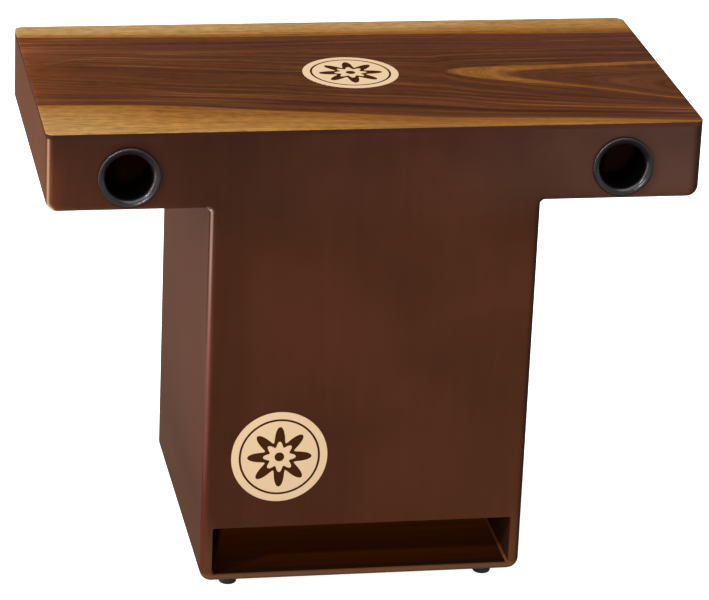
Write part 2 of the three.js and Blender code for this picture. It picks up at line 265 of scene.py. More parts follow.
class Finish:
    """One node material, named for the real finish."""

    def __init__(self, name, **fixed):
        self.material = bpy.data.materials.new(name)
        self.material.use_nodes = True
        self.tree = self.material.node_tree
        self.shader = self.tree.nodes["Principled BSDF"]
        for socket, value in fixed.items():
            self.shader.inputs[socket.replace("_", " ")].default_value = value
        coordinates = self.add("TexCoord").outputs
        self.place = coordinates["Object"]
        self.x, self.y, self.z = self.split(self.place)
        self.normal = coordinates["Normal"]
        self.side, _, self.rise = self.split(self.normal)

    def made(self, value):
        """A tuple that starts with a socket is made a range, and anything else stays as it is."""
        if isinstance(value, tuple) and isinstance(value[0], bpy.types.NodeSocket):
            return self.range(*value)
        return value

    def add(self, kind, inputs=None, **settings):
        """Adds a node; each input takes a value, a range's tuple, or the socket that it is joined to."""
        node = self.tree.nodes.new("ShaderNode" + kind)
        for setting, value in settings.items():
            setattr(node, setting, value)
        for socket, value in (inputs or {}).items():
            value = self.made(value)
            if isinstance(value, bpy.types.NodeSocket):
                self.tree.links.new(value, node.inputs[socket])
            else:
                node.inputs[socket].default_value = value
        return node

    def into(self, socket, value):
        """Joins a pattern to one of the shader's sockets."""
        self.tree.links.new(self.made(value), self.shader.inputs[socket])

    def split(self, vector):
        """The three numbers of a vector."""
        return self.add("SeparateXYZ", {0: vector}).outputs

    def noise(self, scale, detail=2.0, stretch=(1, 1, 1), place=None, warp=0.0):
        """A cloud between 0 and 1; stretch above 1 along an axis makes its features narrower that way."""
        spread = self.add("Mapping", {"Vector": place or self.place, "Scale": [scale * s for s in stretch]})
        settings = {"Vector": spread.outputs[0], "Scale": 1.0, "Detail": detail, "Distortion": warp}
        return self.add("TexNoise", settings).outputs["Fac"]

    def range(self, value, low, high, to_low=0.0, to_high=1.0):
        """Stretches low to high over to_low to to_high, and holds the ends."""
        inputs = {"Value": value, "From Min": low, "From Max": high, "To Min": to_low, "To Max": to_high}
        return self.add("MapRange", inputs).outputs["Result"]

    def fold(self, operation, *values):
        """Joins numbers by one operation, from the first to the last."""
        result = values[0]
        for value in values[1:]:
            result = self.add("Math", {0: result, 1: value}, operation=operation).outputs[0]
        return result

    def times(self, *values):
        """All the values multiplied."""
        return self.fold("MULTIPLY", *values)

    def plus(self, *values):
        """All the values added."""
        return self.fold("ADD", *values)

    def most(self, *values):
        """The largest of the values."""
        return self.fold("MAXIMUM", *values)

    def size(self, value):
        """A number without its sign."""
        return self.fold("ABSOLUTE", value, 0)

    def mix(self, share, first, second, how="MIX"):
        """Mixes two colours by a share."""
        return self.add("Mix", {0: share, 6: first, 7: second}, data_type="RGBA", blend_type=how).outputs[2]

    def ramp(self, value, stops):
        """A run of colours over the places that they stand at."""
        node = self.add("ValToRGB", {"Fac": value})
        bar = node.color_ramp.elements
        while len(bar) < len(stops):
            bar.new(0.5)
        for element, (place, colour) in zip(bar, stops):
            element.position, element.color = place, colour
        return node.outputs["Color"]

    def paint(self, colour):
        """Makes a pattern the surface's colour so far."""
        self.colour = colour
        self.into("Base Color", colour)

    def mottle(self, scale, detail, first, second):
        """Paints the surface with two tones, mixed by a cloud."""
        self.paint(self.mix(self.noise(scale, detail), first, second))

    def tint(self, colour, *shares, how="MIX"):
        """Lays a colour over the surface, as far as all the shares multiplied say."""
        self.paint(self.mix(self.times(*shares), self.colour, colour, how))

    def cast(self, red, green, blue, *shares):
        """Gives the surface a slight cast: its colour is multiplied by three factors near 1."""
        self.tint((red, green, blue, 1.0), *shares, how="MULTIPLY")

    def shade(self, *factors):
        """Makes the surface lighter or darker by factors near 1."""
        scaled = self.add("VectorMath", {0: self.colour, "Scale": self.times(*factors)}, operation="SCALE")
        self.paint(scaled.outputs["Vector"])

    def bump(self, height, depth, strength=1.0):
        """Raises the surface by up to depth metres where height is 1."""
        inputs = {"Height": height, "Distance": depth, "Strength": strength}
        raised = self.add("Bump", inputs).outputs["Normal"]
        self.into("Normal", raised)
        self.into("Coat Normal", raised)

    def rounding(self):
        """How far the surface has turned from a flat side: 0 on a side, 1 nearly half way round an edge."""
        size = self.add("VectorMath", {0: self.normal}, operation="ABSOLUTE").outputs["Vector"]
        return self.range(self.most(*self.split(size)), 0.99, 0.75)


print("the helper class is ready:", Finish.__name__)

# %% [markdown]
# ## The studio
#
# The photograph was taken from the front and a little to the left, looking down by about 22 degrees with a
# long lens, on white. A pale floor, one broad light from above, a large soft screen on the left and a weak
# even sky give the same look: the top and the left side are the light ones, and the front is a little darker.
# A narrow screen in front and a small box high at the front left add the glints, and a warm board low at the
# left throws some light up at the wing.

# %% Set up the camera
LENS = 185.68
SENSOR = 36.0
CAMERA_PLACE = (-0.5099, -2.6581, 1.2776)
YAW, PITCH, ROLL = 0.19340181, 0.38117266, 0.04350282

ahead = np.array([np.sin(YAW) * np.cos(PITCH), np.cos(YAW) * np.cos(PITCH), -np.sin(PITCH)])
level = np.array([np.cos(YAW), -np.sin(YAW), 0.0])
upward = np.cross(level, ahead)
right = np.cos(ROLL) * level + np.sin(ROLL) * upward
upward = np.cos(ROLL) * upward - np.sin(ROLL) * level

camera = bpy.data.objects.new("camera", bpy.data.cameras.new("camera"))
camera.data.lens, camera.data.sensor_width = LENS, SENSOR
turn = np.eye(4)
turn[:3, :3] = np.stack([right, upward, -ahead], axis=1)
turn[:3, 3] = CAMERA_PLACE
camera.matrix_world = Matrix(turn.tolist())
bpy.context.scene.collection.objects.link(camera)
bpy.context.scene.camera = camera
bpy.context.scene.view_settings.view_transform = "Standard"
print("the camera looks along", ahead.round(3))

# %% Light it softly
SUN_SPREAD = np.radians(75)
SKY_LIGHT = 0.6
UPRIGHT = 1e-6


def add_light(name, place, target, strength, size=None, colour=(1, 1, 1)):
    """A lamp at a place, turned to look at a target: a soft sun, or with a size a rectangular screen."""
    lamp = bpy.data.lights.new(name, "AREA" if size else "SUN")
    lamp.energy, lamp.color = strength, colour
    if size:
        lamp.shape, lamp.size, lamp.size_y = "RECTANGLE", *size
    else:
        lamp.angle = SUN_SPREAD
    holder = bpy.data.objects.new(name, lamp)
    aim = np.array(target, float) - np.array(place, float)
    side = np.cross(aim, [0.0, 0.0, 1.0]) if np.abs(aim[:2]).sum() > UPRIGHT else np.array([1.0, 0.0, 0.0])
    over = np.cross(side, aim)
    axes = [side / np.linalg.norm(side), over / np.linalg.norm(over), -aim / np.linalg.norm(aim)]
    pose = np.eye(4)
    pose[:3, :3] = np.stack(axes, axis=1)
    pose[:3, 3] = place
    holder.matrix_world = Matrix(pose.tolist())
    bpy.context.scene.collection.objects.link(holder)


add_light("overhead", (-0.35, -0.25, 2.0), (0, 0, 0), 3.2)
add_light("left screen", (-2.4, 0.0, 0.8), (0, 0, 0.2), 63, (1.8, 1.5))
add_light("front screen", (-1.05, -4.1, 1.25), (0, 0, 0.2), 70, (0.16, 0.8))
add_light("key box", (-2.8, -1.9, 2.22), (0, 0, 0.25), 63, (0.22, 0.22))
add_light("bounce board", (-0.86, -0.13, 0.01), (-0.86, -0.13, 1.0), 22, (1.1, 0.8), (1.0, 0.82, 0.68))

world = bpy.data.worlds.new("white studio")
world.use_nodes = True
bpy.context.scene.world = world
sky = world.node_tree
sky.nodes.clear()
path = sky.nodes.new("ShaderNodeLightPath")
choice = sky.nodes.new("ShaderNodeMixShader")
out = sky.nodes.new("ShaderNodeOutputWorld")
sky.links.new(path.outputs["Is Camera Ray"], choice.inputs[0])
for socket, strength in ((1, SKY_LIGHT), (2, 1.0)):
    white = sky.nodes.new("ShaderNodeBackground")
    white.inputs["Color"].default_value = (1, 1, 1, 1)
    white.inputs["Strength"].default_value = strength
    sky.links.new(white.outputs[0], choice.inputs[socket])
sky.links.new(choice.outputs[0], out.inputs["Surface"])

# %% Lay the floor
FLOOR_HALF = 9.0
FLOOR_GAP = 0.05 * MM
PAPER_WHITE = 0.6
PAPER_GLOW = 0.9
paper = Finish("pale floor", Roughness=0.9, Specular_IOR_Level=0.1, Emission_Color=(1, 1, 1, 1))
paper.into("Emission Strength", (paper.add("LightPath").outputs["Is Camera Ray"], 0, 1, 0.0, PAPER_GLOW))
paper.into("Base Color", (paper.noise(40, 3), 0.2, 0.8, PAPER_WHITE - 0.01, PAPER_WHITE))
floor_mesh = bpy.data.meshes.new("studio_floor")
floor_corners = rectangle(-FLOOR_HALF, -FLOOR_HALF, FLOOR_HALF, FLOOR_HALF)[::ARC_STEPS + 1]
floor_points = lifted(floor_corners, -FLOOR_GAP, "z")
floor_mesh.from_pydata(floor_points.tolist(), [], [[0, 1, 2, 3]])
floor_mesh.materials.append(paper.material)
studio_floor = bpy.data.objects.new("studio_floor", floor_mesh)
bpy.context.scene.collection.objects.link(studio_floor)
studio_floor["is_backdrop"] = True
print("floor laid at", round(floor_points[0, 2] / MM, 3), "mm")

# %% [markdown]
# ## The stain on the body
#
# The body boards carry a dark red-brown stain under a semi-matt lacquer. It isn't one flat colour: it is a
# little cloudy over some centimetres, darker along the column's left edge and in smoky patches, greyer in the
# wings, and lighter on the sanded round edges, which are also handled smoother and so shine more. Light and
# shade are painted into it too: shade in the inner corners of the T, towards the tops, on the edges that face
# right and inside the column, and light towards both wing ends, on the faces and edges that face left and low
# on the column. The pale lowest edge is partly wear and partly a painted reflection of the floor. A fine bump
# of lacquer over open grain breaks up the shine.
#
# One material serves all the body boards, because it reads the place and the way that the surface faces. A
# separate one for each board would show a step where two of them meet.

# %% Make the stain
stain = Finish("dark red-brown stain", Specular_IOR_Level=0.0, Coat_Weight=0.09, Coat_Roughness=0.2)
across, forth, up = stain.x, stain.y, stain.z
side_x = stain.size(across)
on_left_wing, off_left_wing = (across, -0.2, -0.21), (across, -0.2, -0.19)
clouds = stain.noise(9, 3, warp=0.4)
stain.paint(stain.ramp(clouds, [(0.3, tone(64, 34, 19)), (0.5, tone(70, 37, 21)), (0.72, tone(77, 40, 25))]))
stain.shade((stain.noise(160, 4, stretch=(1, 1, 0.08)), 0.3, 0.7, 0.95, 1.05))
# Painted sheen: the right wing is paler and pinker, as a haze of reflected light makes it
stain.tint(tone(80, 53, 44), (across, 0.04, 0.22), (up, 0.3, 0.335))
# Painted shade in the inner corners of the T and towards the tops, and painted light towards both wing ends;
# also darker along the column's left edge and in smoky patches on the wings
from_side, from_wing = stain.plus(side_x, -column_x), stain.plus(up, -wing_z)
squares = stain.plus(stain.times(from_side, from_side), stain.times(from_wing, from_wing))
from_corner = stain.fold("POWER", squares, 0.5)
smoky = stain.times((stain.noise(14, 2), 0.35, 0.6), (up, 0.335, 0.372))
stain.shade(
    (from_corner, 0.0, 0.06, 0.8, 1), (across, -column_x, -0.085, 0.85, 1), (smoky, 0, 1, 1, 0.72),
    (across, -column_x, 0.22, 0.9, 1.28), (across, -0.13, -0.245, 1.1, 1.26),
    (across, -0.105, -0.135, 0.905, 1), (up, 0.25, 0.34, 1, 0.96),
)
# Greyer in the wings; painted light gives a warm glow at the front of the left wing's end, beside its lit
# edge
stain.cast(0.98, 1.02, 1.28, (up, 0.28, 0.34), (across, 0.15, 0.0))
at_front = (forth, front_y + 8 * MM, front_y + 3 * MM)
stain.tint(tone(104, 52, 20), (across, -0.235, -0.246, 0, 0.34), (up, 0.368, 0.35), at_front)
# Painted light makes the slot's jambs and the column's foot paler towards the floor, and painted shade makes
# the inside of the column dark
on_jamb = (side_x, column_inner_x - 3 * MM, column_inner_x + 1 * MM)
stain.tint(tone(106, 68, 46), on_jamb, (up, 0.07, 0.03, 0, 0.5))
behind_front = (forth, front_y + 2 * MM, front_y + 3 * MM)
before_back = (forth, back_y - 2 * MM, back_y - 4 * MM)
past_side = (side_x, column_inner_x + 1.5 * MM, column_inner_x + 0.5 * MM)
inner_side = stain.times(past_side, behind_front, before_back)
stain.tint(tone(38, 18, 6), inner_side)

# %% Wear the stain's edges, and paint light and shade on them
round_edge = stain.rounding()
# Sanded edge tones, laid only on the edges that face left, where the light falls: partly wear, partly painted
# light
worn_and_lit = stain.times((stain.side, -0.2, 0.2, 0.8, 0.0), (up, 0.3, 0.22, 0.5, 1))
worn_and_lit = stain.most(worn_and_lit, (*on_left_wing, 0, 0.8))
worn_and_lit = stain.times(round_edge, worn_and_lit, stain.most((stain.rise, -0.5, -0.05), (up, 0.25, 0.2)))
stain.tint(stain.mix((across, -0.225, -0.235), tone(80, 28, 10), tone(104, 64, 24)), worn_and_lit)
# Painted light: the boards that face left have their own two tones for the light that falls on them, and
# painted shade makes a dark line where their edge begins
side_face = (stain.side, -0.95, -0.99, 0, 0.6)
stain.tint(tone(74, 42, 12), side_face, on_left_wing)
stain.tint(tone(66, 38, 24), side_face, off_left_wing)
side_line = stain.times((stain.side, -0.88, -0.93), (stain.side, -0.999, -0.99))
stain.tint(tone(44, 18, 9), side_line, (*off_left_wing, 0.12, 0.5))
# Painted shade on the edges that face right and on the right wing's end edge, and pale along the lowest one,
# partly wear and partly a painted reflection of the floor
dark_edge = stain.times(round_edge, (stain.side, 0.0, 0.5, 0.0, 0.75))
stain.tint(tone(42, 18, 9), stain.most(dark_edge, (across, 0.2415, 0.2465, 0, 0.75)))
stain.tint(tone(119, 80, 54), (up, 0.019, 0.0155), (inner_side, 0, 1, 0.85, 0))
# Rubbed smooth, and so glossier, where hands and thighs touch it
high = stain.fold("POWER", (up, 0.06, 0.28), 3)
rubbed = stain.times((round_edge, 0.45, 0.95), (stain.side, 0.1, -0.3), (high, 0, 1, 0.06, 1))
stain.into("Coat Weight", (rubbed, 0, 1, 0.07, 0.62))
stain.bump(stain.plus(stain.noise(420, 3, stretch=(1, 1, 0.2)), stain.noise(1400, 2)), 0.03 * MM, 0.5)
print("stain nodes:", len(stain.tree.nodes))

# %% Stain the thin edge of the top and the inside
edge_stain = Finish("stain on the plywood edge", Specular_IOR_Level=0.0, Coat_Weight=0.04, Coat_Roughness=0.4)
edge_stain.paint(edge_stain.mix((edge_stain.x, -0.05, 0.2), tone(54, 30, 22), tone(74, 44, 36)))
plies = edge_stain.noise(90, 3, stretch=(0.2, 0.2, 12))
edge_stain.shade((plies, 0.35, 0.65, 0.92, 1.06))
edge_stain.bump(plies, 0.05 * MM, 0.4)

# The base board is paler and warmer deep inside and dark near the slot: partly bare wood past the stain,
# partly painted light against the shade deep in the column. Underneath it is stained like the body
inner_stain = Finish("stain thinning inside with painted light", Roughness=0.7, Specular_IOR_Level=0.0)
thinned_and_lit = inner_stain.fold("POWER", (inner_stain.y, front_y, -0.03), 1.35)
inner_stain.paint(inner_stain.mix(thinned_and_lit, tone(31, 12, 2), tone(158, 81, 26)))
inner_stain.tint(tone(66, 35, 20), (inner_stain.rise, 0.1, -0.1))
inner_stain.shade((inner_stain.noise(40, 4, stretch=(0.15, 4, 4)), 0.3, 0.7, 0.85, 1.1))
print("finishes so far:", [material.name for material in bpy.data.materials])

# %% [markdown]
# ## The T-shaped panels
#
# The front and the back are single boards cut to the T. Their outer edges are rounded over, a little more at
# the back, while the edge towards the other boards stays square. The front one has two port holes in the
# wings and one wide slot at the foot, whose edges are only eased with sandpaper.

# %% Shape the panels
HOLE_STEPS = 72
HOLE_MARGIN = 3.9 * MM


def body_outline(inset=0.0):
    """The T of the body, moved inwards by inset: outer corners lose that radius, inner ones gain it."""
    wing, column = half_length - inset, column_x - inset
    under, foot = wing_z + inset, base_z + inset
    outer, inner = CORNER_ROUND - inset, INNER_FILLET + inset
    half = [(column, foot, outer), (column, under, inner), (wing, under, outer), (wing, under_top_z, 0.0)]
    other = [(-across, up, radius) for across, up, radius in half]
    return rounded_outline(other[::-1] + half)


def slot_outline(grow=0.0):
    """The slot's opening, moved outwards by grow."""
    side, low, high = column_inner_x + grow, floor_z - grow, floor_z + SLOT_HEIGHT + grow
    round_top = SLOT_CORNER + grow
    right = [(side, low, 0.0), (side, high, round_top)]
    return rounded_outline([(-side, low, 0.0)] + right + [(-side, high, round_top)])


def quarter(radius, steps=ARC_STEPS):
    """How far a rounded edge is set in and back at each step from face to side: a quarter circle."""
    angle = np.linspace(0, np.pi / 2, steps + 1)
    return radius * (1 - np.sin(angle)), radius * (1 - np.cos(angle))


def panel(outer_y, inner_y, edge_round, holes=()):
    """A T-shaped board from its rounded outer face to its square inner one."""
    inset, back_by = quarter(edge_round)
    way = np.sign(inner_y - outer_y)
    outlines = [body_outline(each) for each in inset] + [body_outline()]
    levels = [outer_y + way * each for each in back_by] + [inner_y]
    return stacked(outlines, levels, "y", holes)


def round_hole(x, z, radius):
    """A plain round hole through the front board."""
    angle = full_turn(HOLE_STEPS)
    ring = np.stack([x + radius * np.cos(angle), z + radius * np.sin(angle)], axis=-1)
    return [ring] * 2, [front_y, front_inner_y]


ease_in, ease_back = quarter(SLOT_EASE, 3)
slot_hole = (
    [slot_outline(grow) for grow in ease_in] + [slot_outline()],
    [front_y + each for each in ease_back] + [front_inner_y],
)
port_low, port_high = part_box("port_tube_right")
port_x, _, port_z = (port_low + port_high) / 2
flange_radius = (port_high.x - port_low.x) / 2
port_holes = [round_hole(side * port_x, port_z, flange_radius - HOLE_MARGIN) for side in SIDES.values()]

front_shell = make_piece(
    "front_shell", panel(front_y, front_inner_y, FRONT_ROUND, [slot_hole] + port_holes), [stain],
    ["front_panel"],
)
back_shell = make_piece(
    "back_shell", panel(back_y, back_inner_y, BACK_ROUND), [stain], ["back_panel"]
)
print("faces of the two boards:", [len(shell.data.polygons) for shell in (front_shell, back_shell)])

# %% [markdown]
# ## The boards between the panels
#
# The wing ends, the wing floors and the column's sides are straight boards that run from the front panel to
# the back one. Each is one outline carried along Y. The lower corners of the wings and the foot of the column
# are rounded across the full thickness, and a small glued fillet fills the corner where wing and column meet.

# %% Shape the straight boards
def board_outline(corners, side):
    """Corners given for the right-hand side, mirrored for the left."""
    return rounded_outline([(side * across, up, radius) for across, up, radius in corners][::side])


def fillet_outline(side):
    """The wing floor with the hollow quarter circle of glue and filler in its inner corner."""
    inset, back_by = quarter(INNER_FILLET)
    across = np.concatenate([[column_x, wing_inner_x, wing_inner_x], column_x + inset])
    up = np.concatenate([[wing_floor_z, wing_floor_z, wing_z], wing_z - back_by])
    return np.stack([side * across, up], axis=-1)


SIDE_CORNERS = [
    (column_inner_x, base_z, 0.0), (column_x, base_z, CORNER_ROUND),
    (column_x, wing_floor_z, 0.0), (column_inner_x, wing_floor_z, 0.0),
]
END_CORNERS = [
    (wing_inner_x, wing_z, 0.0), (half_length, wing_z, CORNER_ROUND),
    (half_length, under_top_z, 0.0), (wing_inner_x, under_top_z, 0.0),
]
run = [front_inner_y, back_inner_y]
boards = {"column_floor": rectangle(-column_inner_x, base_z, column_inner_x, floor_z)}
for label, side in SIDES.items():
    boards[f"column_side_{label}"] = board_outline(SIDE_CORNERS, side)
    boards[f"wing_end_{label}"] = board_outline(END_CORNERS, side)
    boards[f"wing_floor_{label}"] = fillet_outline(side)
for node, outline in boards.items():
    finish = inner_stain if node == "column_floor" else stain
    make_piece(f"{node}_board", stacked([outline] * 2, run, "y"), [finish], [node])

# %% [markdown]
# ## The walnut top
#
# The playing surface is thin walnut on a stained board. Walnut cut near the outside of the tree has pale
# sapwood, and here a band of it runs along the back edge and another tapers along the front. In the dark
# heartwood one pale ring opens into a long V on the right, because the saw met that growth ring at a shallow
# slope.
#
# Four numbers are worked out for each point of a fine grid and kept on the mesh: how pale the wood is, how
# much darker or lighter a broad streak makes it, a coordinate that counts across the grain and bends with it,
# and how plain the wood is inside the V. The material then draws the fine streaks and pores along the bent
# coordinate.

# %% Describe the figure of the wood
rng = np.random.default_rng(7)
WAVES = 14
wave_x = rng.uniform(4, 30, WAVES) * rng.choice([-1, 1], WAVES)
wave_s = rng.uniform(10, 120, WAVES)
wave_start = rng.uniform(0, 2 * np.pi, WAVES)
wave_size = 0.55 * MM * rng.uniform(0.4, 1.0, WAVES)
TINY = 1e-6


def drift(x, s):
    """A slow sideways wander of the grain: a sum of long waves in both directions."""
    phase = x[..., None] * wave_x + s[..., None] * wave_s + wave_start
    return (np.sin(phase) * wave_size).sum(axis=-1)


def over(value, places, results):
    """Looks a length up in a short list of places in millimetres, with straight lines between them."""
    return np.interp(value / MM, places, results)


def line_at(x, places, column=1):
    """The height, or another column, of a line through a few places, with its corners rounded by averaging
    over 24 mm."""
    table = np.array(places, float) * MM
    steps = np.linspace(-12, 12, 7) * MM
    return np.mean([np.interp(x + step, table[:, 0], table[:, column]) for step in steps], axis=0)


# Lines across the top, as (millimetres to the right of the middle, millimetres in front of the back edge)
BACK_SAPWOOD = [(-250, 30.3), (-200, 32.3), (-100, 34.5), (0, 34.5), (100, 35), (200, 37), (250, 39)]
FRONT_SAPWOOD = [
    (-250, 192.7), (-183, 197), (-117, 207), (-50, 221), (0, 230), (50, 237), (103, 241), (150, 245),
    (200, 250), (250, 255),
]
UPPER_GRAIN = [(-250, 64), (-100, 67), (50, 69), (250, 72)]
LOWER_GRAIN = [
    (-250, 143), (-183, 153), (-147, 160), (-123, 166), (-75, 171), (-17, 183), (33, 190), (67, 198),
    (100, 208), (150, 216), (200, 225), (250, 231),
]
FLAME_X, FLAME_S = 73.0 * MM, 131.2 * MM
FLAME_TILT, FLAME_SLOPE, FLAME_NOSE = 0.165, 0.1615, 25.8 * MM
PINCH_PLACES = [73, 100, 145, 190, 235]
PINCH_BELOW, PINCH_ABOVE = [1.0, 1.12, 1.18, 1.15, 1.0], [1.0, 1.09, 1.12, 1.04, 1.0]


def flame_middle(x):
    """The sloping middle line of the flame."""
    return FLAME_S + FLAME_TILT * (x - FLAME_X)


def flame(x, s):
    """Growth rings cut at a slope: the distance from the middle line, rounded near it, less a share of the
    way to the right. Each ring is then a hyperbola that opens to the right, pinched a little on its way."""
    away = s - flame_middle(x)
    away = away * np.where(away > 0, over(x, PINCH_PLACES, PINCH_BELOW), over(x, PINCH_PLACES, PINCH_ABOVE))
    return np.hypot(away, FLAME_NOSE) - FLAME_SLOPE * (x - FLAME_X)


def grain_count(x, s):
    """A coordinate across the grain: even between the guide lines, and with one value along each."""
    middle = flame_middle(x)
    opened = FLAME_NOSE + FLAME_SLOPE * np.maximum(x - FLAME_X, 0)
    half = np.sqrt(opened ** 2 - FLAME_NOSE ** 2)
    guides = [
        (np.zeros_like(x), 0), (line_at(x, BACK_SAPWOOD), 34), (line_at(x, UPPER_GRAIN), 68),
        (middle - half, 115), (middle + half, 115), (line_at(x, LOWER_GRAIN), 160),
        (line_at(x, FRONT_SAPWOOD), 205), (np.full_like(x, back_y - front_y + 2 * MM), 250),
    ]
    count = np.zeros_like(x)
    for (low, first), (high, last) in zip(guides[:-1], guides[1:]):
        count += (last - first) * MM * np.clip((s - low) / np.maximum(high - low, TINY), 0, 1)
    inside = np.clip(FLAME_NOSE - flame(x, s), 0, None) * (x > FLAME_X)
    return count + 0.9 * inside + over(inside, [6, 16], [0.0, 0.4]) * (s - middle)


print("the flame's nose stands", round(FLAME_X / MM, 1), "mm right of the middle")

# %% [markdown]
# Single streaks are listed as lines too, each with its half width and, at every place, how strong it is. Pale
# ones add to the pale share, and broad ones only make the wood lighter or darker.

# %% List the streaks
PALE_STREAKS = [
    (1.3, [(-250, 143, 0.27), (-183, 153, 0.22), (-157, 163, 0.2), (-133, 174, 0.17), (-110, 177, 0.17),
           (-63, 183, 0.14), (17, 200, 0.1), (100, 218, 0.12), (117, 222, 0.0)]),
    (1.5, [(-147, 152, 0.0), (-123, 162, 0.12), (-75, 170, 0.16), (-50, 177, 0.18), (-17, 183, 0.2),
           (33, 190, 0.26), (67, 198, 0.3), (100, 208, 0.3), (150, 216, 0.3), (200, 225, 0.28),
           (250, 231, 0.22)]),
    (1.4, [(-250, 177, 0.24), (-183, 185, 0.2), (-143, 189, 0.15), (-123, 192, 0.1), (-67, 200, 0.0)]),
    (1.0, [(-250, 162, 0.1), (-200, 166, 0.12), (-150, 172, 0.08), (-110, 176, 0.0)]),
    (2.0, [(-250, 60, 0.14), (-167, 67, 0.1), (-83, 71, 0.08), (20, 74, 0.0)]),
    (1.8, [(-246, 108, 0.02), (-238, 98, 0.1), (-225, 90, 0.14), (-208, 86, 0.16), (-190, 82.5, 0.17),
           (-178, 82.3, 0.17), (-163, 84, 0.17), (-147, 91.7, 0.17), (-123, 93.3, 0.16), (-83, 93.3, 0.12),
           (0, 95, 0.0)]),
    (1.0, [(-250, 35, 0.2), (-170, 37, 0.18), (-60, 38, 0.0)]),
]
BROAD_STREAKS = [
    (5.0, [(-95, 200, 0.0), (-50, 200, -0.26), (50, 215, -0.26), (103, 225, -0.27), (150, 231, -0.28),
           (200, 236, -0.26), (250, 243, -0.2)]),
    (4.0, [(-70, 160, 0.0), (-50, 163, -0.16), (50, 184, -0.24), (103, 188, -0.2), (200, 197, -0.18),
           (240, 204, 0.0)]),
    (5.0, [(-250, 48, -0.08), (-150, 46, -0.14), (0, 50, -0.1), (250, 55, -0.05)]),
    (8.0, [(-180, 126, 0.0), (-150, 128, -0.16), (-117, 130, -0.22), (-60, 130, -0.12), (-20, 130, 0.0)]),
    (6.0, [(-232, 100, 0.0), (-215, 104, -0.16), (-200, 107, -0.2), (-180, 113, 0.0)]),
    (10.0, [(-250, 60, 0.85), (-238, 61, 0.55), (-190, 62, 0.48), (-120, 65, 0.3), (-60, 66, 0.06),
            (-10, 66, 0.0)]),
    (38.0, [(-250, 84, 0.4), (-228, 84, 0.2), (-190, 86, 0.06), (-150, 90, 0.0)]),
    (24.0, [(-250, 160, 0.2), (-220, 160, 0.08), (-190, 160, 0.0)]),
    (38.0, [(-115, 160, 0.0), (-90, 160, -0.09), (-50, 165, -0.09), (-15, 170, 0.0)]),
    (1.0, [(-250, 31.8, -0.25), (-150, 33.6, -0.2), (-60, 35, 0.0)]),
    (5.5, [(40, 87, 0.0), (60, 88, -0.16), (93, 86, -0.24), (130, 84, -0.3), (167, 84, -0.26),
           (204, 85, -0.22), (245, 87, -0.12)]),
    (4.5, [(-250, 41, 0.3), (-190, 41, 0.5), (-140, 41, 0.5), (-100, 42, 0.26), (-10, 43, 0.26),
           (56, 44, 0.26), (93, 44, 0.4), (130, 44, 0.36), (167, 44, 0.32), (204, 44, 0.12),
           (245, 44, 0.26)]),
    (5.0, [(30, 105, 0.0), (56, 106, -0.2), (93, 106, -0.06), (130, 105, -0.16), (167, 107, -0.22),
           (200, 106, 0.0)]),
]


def streaks(x, s, table):
    """The sum of all streaks of a table: each fades away from its line as a bell curve."""
    total = np.zeros_like(x)
    for half_width, places in table:
        away = (s - line_at(x, places)) / (half_width * MM)
        total += line_at(x, places, 2) / MM * np.exp(-away ** 2)
    return total


def pale_share(x, s):
    """How much of the wood is sapwood, from 0 to 1: it rises with the way into each pale band, and along
    the flame between its outer and inner ring."""
    into_back = line_at(x, BACK_SAPWOOD) - s
    back = over(into_back, [-4, -1, 0, 1.5, 6, 9, 20, 34], [0, 0.12, 0.34, 0.48, 0.56, 0.72, 0.92, 1.0])
    places = [-250, -200, -100, -30, 10, 60, 140, 210]
    change = over(x, places, [0.18, 0.13, 0.05, -0.04, -0.03, 0, -0.1, -0.15])
    back = back + change * over(into_back, [0, 2], [0, 1])
    into_front = s - line_at(x, FRONT_SAPWOOD)
    front = over(into_front, [-3, -1, 1, 8, 15, 22, 40, 60], [0, 0.1, 0.42, 0.5, 0.56, 0.66, 0.76, 0.9])
    left = over(into_front, [-3, -1, 1, 4, 20, 60], [0, 0.12, 0.5, 0.64, 0.74, 0.9])
    front = front + (left - front) * over(x, [-210, -120], [1, 0])
    change = over(x, [-210, -160, -110, -60, 10, 60, 150], [0, -0.08, -0.04, 0, -0.05, -0.03, 0.06])
    front = front + change * over(into_front, [0, 2, 30, 45], [0, 1, 1, 0.4])
    ring = flame(x, s)
    below = s > flame_middle(x)
    inner = over(x, [76, 120, 170, 250], [14.5, 17.0, 19.0, 19.8])
    inner = inner - np.where(below, 0, over(x, [110, 170], [0, 1.7]))
    fade = over(x, [70, 78, 130, 160, 250], [0, 0.5, 0.5, 0.44, 0.4])
    fade = fade * np.where(below, over(x, [140, 250], [1.0, 0.6]), 1.0)
    arms = fade * np.clip((ring / MM - inner) / 3, 0, 1) * over(ring, [24.6, 25.8], [1, 0])
    return np.clip(np.maximum(back, front) + arms + streaks(x, s, PALE_STREAKS), 0, 1)


def broad_shade(x, s):
    """How much lighter or darker the heartwood is than its own mean."""
    ring = flame(x, s)
    inside = over(ring, [6, 15, 19, 21], [0.05, 0.0, -0.07, 0.0])
    inside = inside + over(x, [150, 240], [0.02, 0.18]) * over(ring, [17, 20], [1, 0])
    return inside * (x > FLAME_X) + streaks(x, s, BROAD_STREAKS)


def inside_flame(x, s):
    """One inside the flame's ring, where the wood is plain, and falling to zero outside it, with one more
    plain patch near the right end of the back band."""
    ring = flame(x, s)
    near = np.where(x > FLAME_X, over(ring, [18, 25], [1.0, 0.5]), 0.5) * over(ring, [26, 40], [1, 0])
    patch_x, patch_s, patch_length, patch_width = 222 * MM, 58 * MM, 45 * MM, 15 * MM
    patch = np.exp(-((x - patch_x) / patch_length) ** 2 - ((s - patch_s) / patch_width) ** 2)
    return np.maximum(near, patch)


print("streaks listed:", len(PALE_STREAKS) + len(BROAD_STREAKS))

